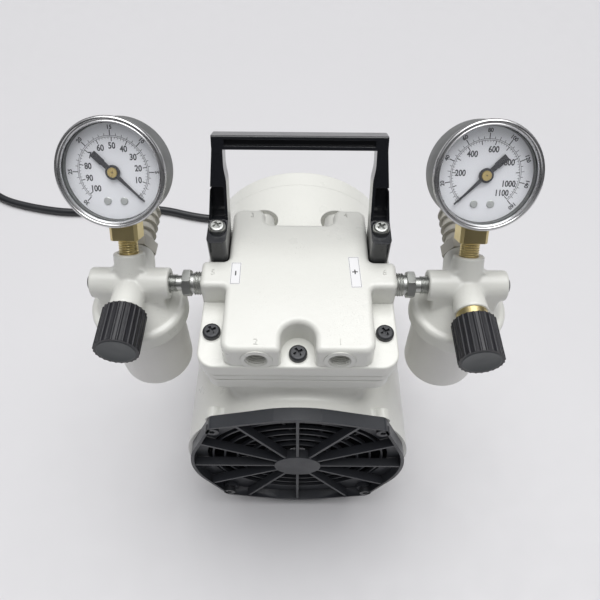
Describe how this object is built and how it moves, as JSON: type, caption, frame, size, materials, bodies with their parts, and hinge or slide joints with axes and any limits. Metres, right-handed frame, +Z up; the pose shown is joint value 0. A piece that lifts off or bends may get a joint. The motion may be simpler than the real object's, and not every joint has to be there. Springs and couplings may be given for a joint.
{
  "type": "diaphragm vacuum pump",
  "caption": "Diaphragm vacuum and pressure pump: round motor behind a fan guard, valved head with carry handle, and on each side a gauge, regulator knob and moisture jar.",
  "frame": {"origin": "on the table, under the centre of the pump's length and width without its cord", "axes": "+Z up, -Y to the fan guard, +X to the right of someone who faces the guard"},
  "size_m": [0.5908, 0.3872, 0.2896],
  "materials": {
    "cast_white": "gloss",
    "guard_black": "semi-gloss moulded",
    "handle_black": "gloss",
    "knob_black": "satin",
    "rubber": "matt",
    "cord_black": "satin",
    "steel": "satin",
    "zinc_steel": "zinc plated",
    "black_steel": "black oxide",
    "iron": "machined",
    "copper": "enamelled copper wire",
    "aluminium": "machined",
    "brass": "machined",
    "chrome": "polished",
    "case_grey": "gloss",
    "window": "clear",
    "dial_face": "matt printed",
    "pointer_black": "matt",
    "barb_grey": "moulded",
    "jar_plastic": "translucent",
    "filter_grey": "sintered",
    "diaphragm_rubber": "fabric reinforced",
    "valve_steel": "spring steel"
  },
  "bodies": {
    "pump": {"motor_housing": "cast_white", "rear_bell": "cast_white", "bell_screws": "zinc_steel", "fan_guard": "guard_black", "guard_bolts": "black_steel", "rubber_feet": "rubber", "foot_screws": "zinc_steel", "stator_core": "iron", "stator_windings": "copper", "front_bearing": "steel", "rear_bearing": "steel", "diaphragm": "diaphragm_rubber", "base_plate": "cast_white", "valve_plate": "cast_white", "valve_flaps": "valve_steel", "head_cover": "cast_white", "head_screws": "black_steel", "handle": "handle_black", "handle_screws": "zinc_steel", "nipples": "zinc_steel", "side_plugs": "black_steel", "jar_seals": "rubber", "filter_elements": "filter_grey", "gauge_windows": "window", "strain_relief": "cord_black", "cord": "cord_black", "cord_coil": "cord_black", "power_plug": "cord_black", "manifold_left": "cast_white", "hose_barb_left": "barb_grey", "bonnet_left": "brass", "gauge_case_left": "case_grey", "gauge_bezel_left": "chrome", "dial_left": "dial_face", "gauge_stem_left": "brass", "manifold_right": "cast_white", "hose_barb_right": "barb_grey", "bonnet_right": "brass", "gauge_case_right": "case_grey", "gauge_bezel_right": "chrome", "dial_right": "dial_face", "gauge_stem_right": "brass"},
    "crankshaft": {"motor_shaft": "steel", "rotor": "iron", "eccentric": "iron", "counterweight": "iron", "cooling_fan": "guard_black"},
    "rod": {"crank_bearing": "steel", "connecting_rod": "aluminium", "clamp_disc": "aluminium", "clamp_screw": "steel"},
    "needle_left": {"pointer_left": "pointer_black"},
    "stem_left": {"adjusting_stem_left": "brass"},
    "dial_knob_left": {"knob_left": "knob_black"},
    "bowl_left": {"jar_left": "jar_plastic"},
    "needle_right": {"pointer_right": "pointer_black"},
    "stem_right": {"adjusting_stem_right": "brass"},
    "dial_knob_right": {"knob_right": "knob_black"},
    "bowl_right": {"jar_right": "jar_plastic"}
  },
  "joints": [
    {"name": "crankshaft_spin", "type": "hinge", "parent": "pump", "child": "crankshaft", "pos_m": [0, -0.0413, 0.087], "axis": [0, 1, 0], "continuous": true},
    {"name": "rod_swing", "type": "hinge", "parent": "crankshaft", "child": "rod", "pos_m": [0, -0.0413, 0.09], "axis": [0, 1, 0], "continuous": true},
    {"name": "needle_left_turn", "type": "hinge", "parent": "pump", "child": "needle_left", "pos_m": [-0.0965, -0.0057, 0.25579], "axis": [0, -0.8339, 0.5519], "range_deg": [0, 270], "stiffness_Nm_per_rad": 0.001},
    {"name": "knob_left_travel", "type": "slide", "parent": "pump", "child": "stem_left", "axis": [0, 1, 0], "range_m": [-0.00525, 0.00105]},
    {"name": "knob_left_turn", "type": "hinge", "parent": "stem_left", "child": "dial_knob_left", "pos_m": [-0.0965, -0.0618, 0.202], "axis": [0, 1, 0], "range_deg": [-1260.5, 252.5]},
    {"name": "jar_left_lower", "type": "slide", "parent": "pump", "child": "bowl_left", "axis": [0, 0, -1], "range_m": [0, 0.028]},
    {"name": "needle_right_turn", "type": "hinge", "parent": "pump", "child": "needle_right", "pos_m": [0.0965, -0.0057, 0.25579], "axis": [0, 0.8339, -0.5519], "range_deg": [0, 270], "stiffness_Nm_per_rad": 0.001},
    {"name": "knob_right_travel", "type": "slide", "parent": "pump", "child": "stem_right", "axis": [0, 1, 0], "range_m": [-0.00075, 0.00555]},
    {"name": "knob_right_turn", "type": "hinge", "parent": "stem_right", "child": "dial_knob_right", "pos_m": [0.0965, -0.0618, 0.202], "axis": [0, 1, 0], "range_deg": [-180.5, 1332.5]},
    {"name": "jar_right_lower", "type": "slide", "parent": "pump", "child": "bowl_right", "axis": [0, 0, -1], "range_m": [0, 0.028]}
  ],
  "couplings": [
    {"joint": "rod_swing", "follows": "crankshaft_spin", "ratio": -1},
    {"joint": "knob_left_turn", "follows": "knob_left_travel", "rad_per_m": 4188.8},
    {"joint": "knob_right_turn", "follows": "knob_right_travel", "rad_per_m": 4188.8}
  ]
}
